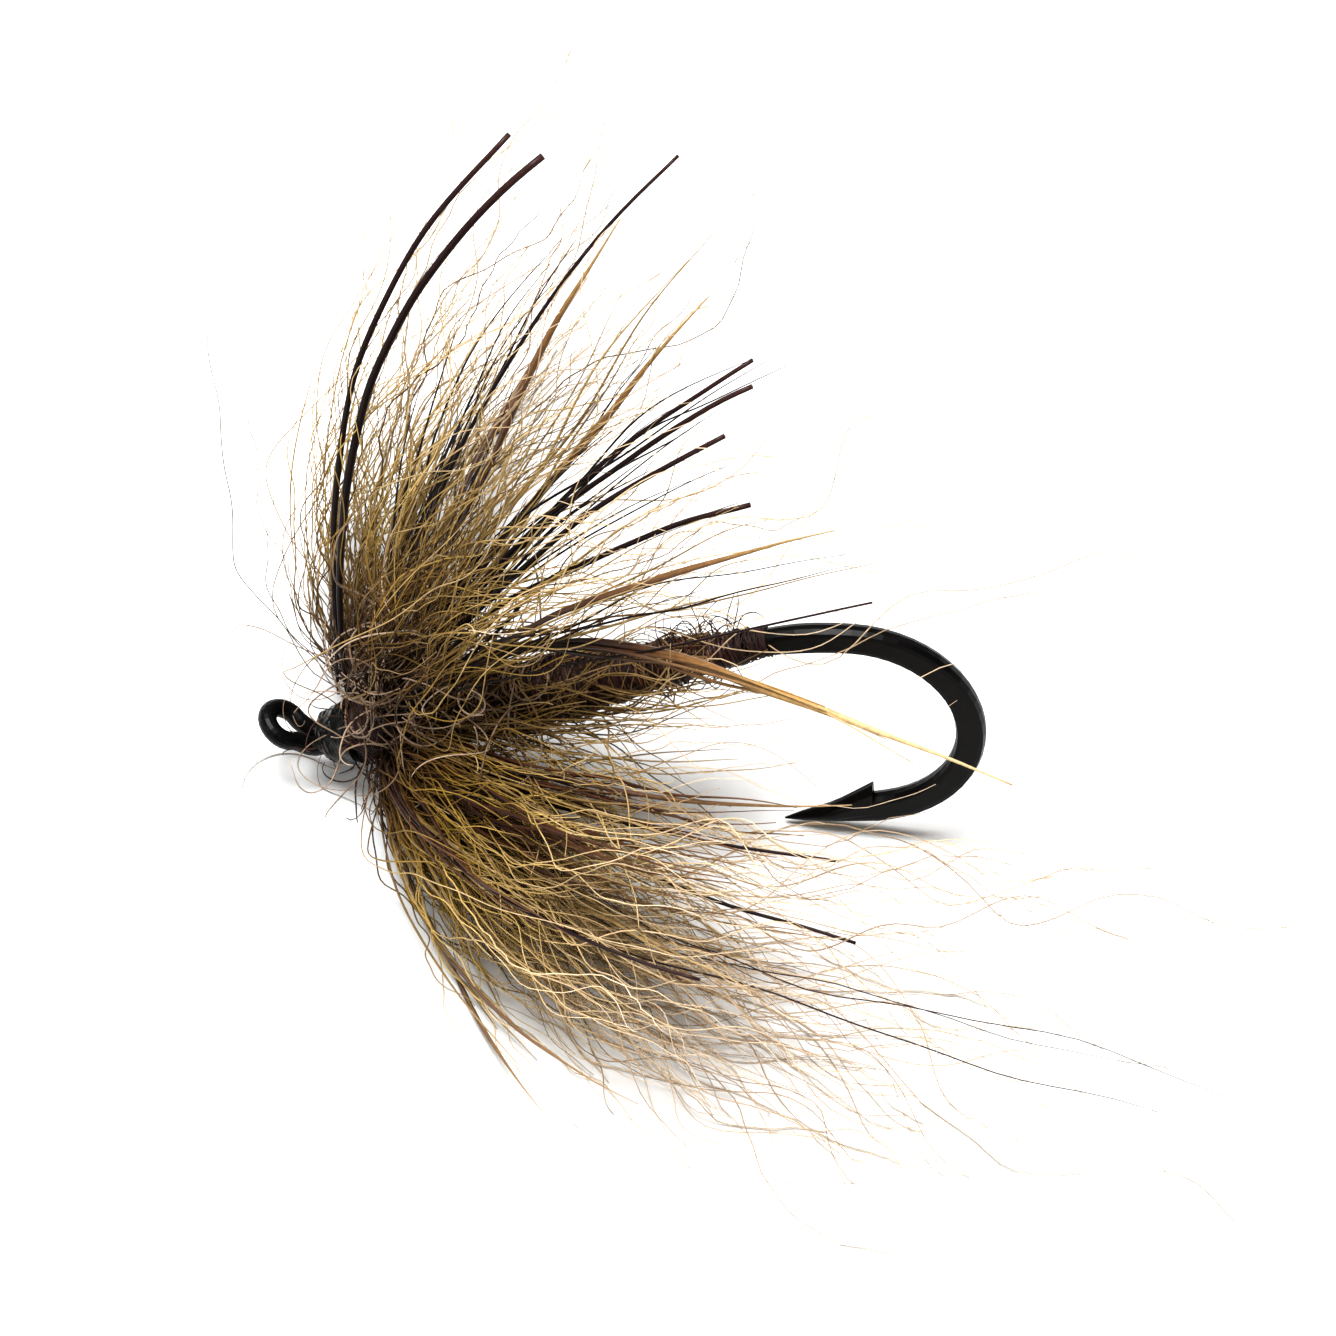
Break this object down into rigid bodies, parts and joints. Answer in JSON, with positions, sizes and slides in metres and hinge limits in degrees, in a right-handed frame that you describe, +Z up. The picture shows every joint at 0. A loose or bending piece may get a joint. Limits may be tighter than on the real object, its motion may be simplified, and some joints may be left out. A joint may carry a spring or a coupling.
{
  "type": "dry fly",
  "caption": "Hair-winged dry fly: black up-eye hook, dubbed rope body, dubbed thorax, thread head and a swept fan of underfur and guard hair that flexes at the tie-in.",
  "frame": {"origin": "middle of the fly's footprint, on the table it rests on", "axes": "+Z up from the table; +X is the ground heading of the shank from the eye to the bend; +Y is the far side, where the upper hair bunch lies"},
  "size_m": [0.0156, 0.0218, 0.0108],
  "materials": {
    "hook_steel": "black lacquered steel wire, glossy",
    "tying_thread": "fine waxed thread, near black",
    "dark_red_thread": "fine waxed thread, dark red-brown",
    "head_varnish": "thin glossy black varnish",
    "abdomen_dubbing": "dark red-brown spun fur, fuzzy",
    "thorax_dubbing": "loose tan and brown fur",
    "underfur": "fine crinkled golden-tan hair",
    "black_guard_hair": "stiff near-black hair with a soft sheen",
    "copper_guard_hair": "banded hair: dark root, copper middle, pale tip"
  },
  "bodies": {
    "hook_and_body": {"abdomen_dubbing_rope": "abdomen_dubbing", "collar_thread": "tying_thread", "hair_butts": "underfur", "head_cement": "head_varnish", "head_thread": "tying_thread", "hook": "hook_steel", "rear_fibre_tuft": "abdomen_dubbing", "rear_thread_wraps": "dark_red_thread", "thorax_dubbing_ball": "thorax_dubbing", "thread_base": "tying_thread", "whip_finish": "tying_thread"},
    "far_wing": {"far_bristle_1": "black_guard_hair", "far_bristle_2": "black_guard_hair", "far_bristle_3": "black_guard_hair", "far_lance_1": "copper_guard_hair", "far_lance_2": "copper_guard_hair", "far_lance_3": "copper_guard_hair", "far_prop_hair_1": "copper_guard_hair", "far_prop_hair_2": "copper_guard_hair", "far_underfur_lock_1": "underfur", "far_underfur_lock_2": "underfur", "far_underfur_lock_3": "underfur", "far_underfur_lock_4": "underfur", "far_underfur_lock_5": "underfur"},
    "top_wing": {"top_bristle_1": "black_guard_hair", "top_bristle_2": "black_guard_hair", "top_bristle_3": "black_guard_hair", "top_bristle_4": "black_guard_hair", "top_bristle_5": "black_guard_hair", "top_lance_1": "copper_guard_hair", "top_lance_2": "copper_guard_hair", "top_lance_3": "copper_guard_hair", "top_lance_4": "copper_guard_hair", "top_underfur_lock_1": "underfur", "top_underfur_lock_2": "underfur", "top_underfur_lock_3": "underfur"},
    "near_wing": {"near_bristle_1": "black_guard_hair", "near_bristle_2": "black_guard_hair", "near_bristle_3": "black_guard_hair", "near_lance_1": "copper_guard_hair", "near_lance_2": "copper_guard_hair", "near_lance_3": "copper_guard_hair", "near_lance_4": "copper_guard_hair", "near_underfur_lock_1": "underfur", "near_underfur_lock_2": "underfur", "near_underfur_lock_3": "underfur", "near_underfur_lock_4": "underfur", "near_underfur_lock_5": "underfur"}
  },
  "joints": [
    {"name": "far_wing_sweep", "type": "hinge", "parent": "hook_and_body", "child": "far_wing", "pos_m": [-0.00523, -0.00095, 0.00155], "axis": [0, 0, -1], "range_deg": [-8, 15], "stiffness_Nm_per_rad": 0.00002},
    {"name": "near_wing_sweep", "type": "hinge", "parent": "hook_and_body", "child": "near_wing", "pos_m": [-0.00523, -0.00095, 0.00155], "axis": [0, 0, 1], "range_deg": [-8, 11], "stiffness_Nm_per_rad": 0.00002},
    {"name": "top_wing_lift", "type": "hinge", "parent": "hook_and_body", "child": "top_wing", "pos_m": [-0.00523, -0.00095, 0.00155], "axis": [-0.1146, -0.9578, 0.2635], "range_deg": [-5, 15], "stiffness_Nm_per_rad": 0.00002}
  ]
}
